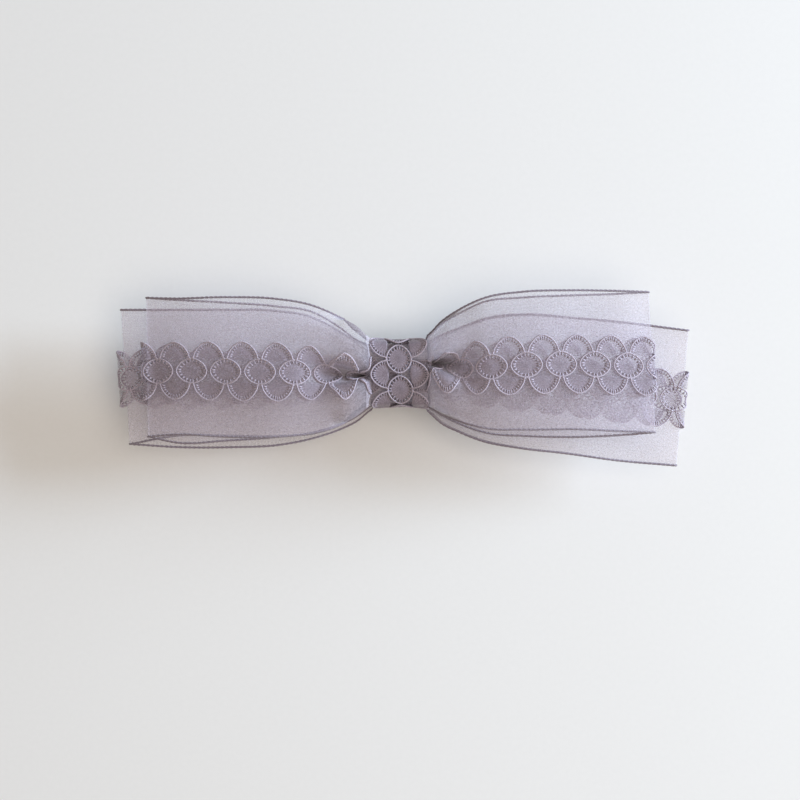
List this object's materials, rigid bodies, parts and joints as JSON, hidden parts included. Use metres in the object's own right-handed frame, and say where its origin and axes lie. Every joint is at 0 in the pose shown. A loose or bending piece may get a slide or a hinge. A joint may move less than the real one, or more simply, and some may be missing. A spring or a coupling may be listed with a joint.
{
  "type": "hair bow",
  "caption": "Long flat double-loop organza bow with scalloped lace trim and a lace knot, on an arched spring barrette with a hinged clasp arm.",
  "frame": {"origin": "middle of the outline seen from above, on the surface that the closed barrette stands on", "axes": "+X along the bow towards the latch end, +Y across it, +Z away from the hair, out of the bow's face"},
  "size_m": [0.1589, 0.0482, 0.0271],
  "materials": {
    "organza": "sheer crisp organza, fine plain weave with a faint sparkle",
    "lace": "matt openwork lace with raised cords",
    "thread": "tight overlocked thread",
    "steel": "nickel plated, satin",
    "spring_steel": "tempered, darker satin",
    "glue": "set hot glue, glossy"
  },
  "bodies": {
    "bow": {"base_plate": "steel", "hinge_pin": "steel", "latch_bracket": "spring_steel", "bracket_rivets": "steel", "glue_beads": "glue", "back_ribbon": "organza", "back_edging_upper": "thread", "back_edging_lower": "thread", "back_lace": "lace", "front_ribbon": "organza", "front_edging_upper": "thread", "front_edging_lower": "thread", "front_lace": "lace", "gather_thread": "thread", "knot_wrap": "lace", "wrap_stitches": "thread"},
    "arm": {"clasp_arm": "steel"},
    "bar": {"tension_bar": "spring_steel"},
    "prong_upper": {"latch_prong_upper": "spring_steel"},
    "prong_lower": {"latch_prong_lower": "spring_steel"}
  },
  "joints": [
    {"name": "arm_hinge", "type": "hinge", "parent": "bow", "child": "arm", "pos_m": [-0.0347, 0.0022, 0.0016], "axis": [0, 1, 0], "range_deg": [0, 75]},
    {"name": "bar_flex", "type": "hinge", "parent": "bow", "child": "bar", "pos_m": [-0.0312, 0.0022, 0.0056], "axis": [0, 1, 0], "range_deg": [0, 2], "stiffness_Nm_per_rad": 0.4},
    {"name": "prong_upper_squeeze", "type": "hinge", "parent": "bow", "child": "prong_upper", "pos_m": [0.0338, 0.0049, 0.00446], "axis": [1, 0, 0], "range_deg": [-6, 0], "stiffness_Nm_per_rad": 0.02},
    {"name": "prong_lower_squeeze", "type": "hinge", "parent": "bow", "child": "prong_lower", "pos_m": [0.0338, -0.0005, 0.00446], "axis": [1, 0, 0], "range_deg": [0, 6], "stiffness_Nm_per_rad": 0.02}
  ]
}
